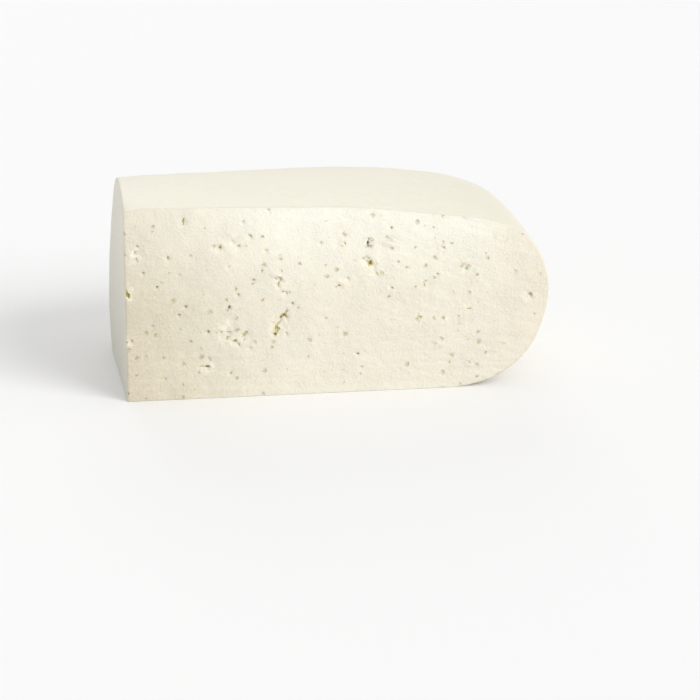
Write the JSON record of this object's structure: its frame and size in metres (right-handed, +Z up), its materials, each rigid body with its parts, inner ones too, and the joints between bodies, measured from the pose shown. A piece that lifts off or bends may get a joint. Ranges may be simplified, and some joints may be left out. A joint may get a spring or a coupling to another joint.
{
  "type": "goat cheese",
  "caption": "Large cut piece of fresh white goat cheese with two straight cut faces, small openings in the curd, and a smooth rounded side at the end and back.",
  "frame": {"origin": "middle of the bounding box at the base, where the piece rests", "axes": "+X along the long cut towards the rounded end, -Y out of the long cut, -X out of the short cut, +Z up"},
  "size_m": [0.1724, 0.1146, 0.0797],
  "materials": {
    "curd": "matt moist white curd, slightly translucent"
  },
  "bodies": {
    "root": {"cheese": "curd"}
  },
  "joints": []
}
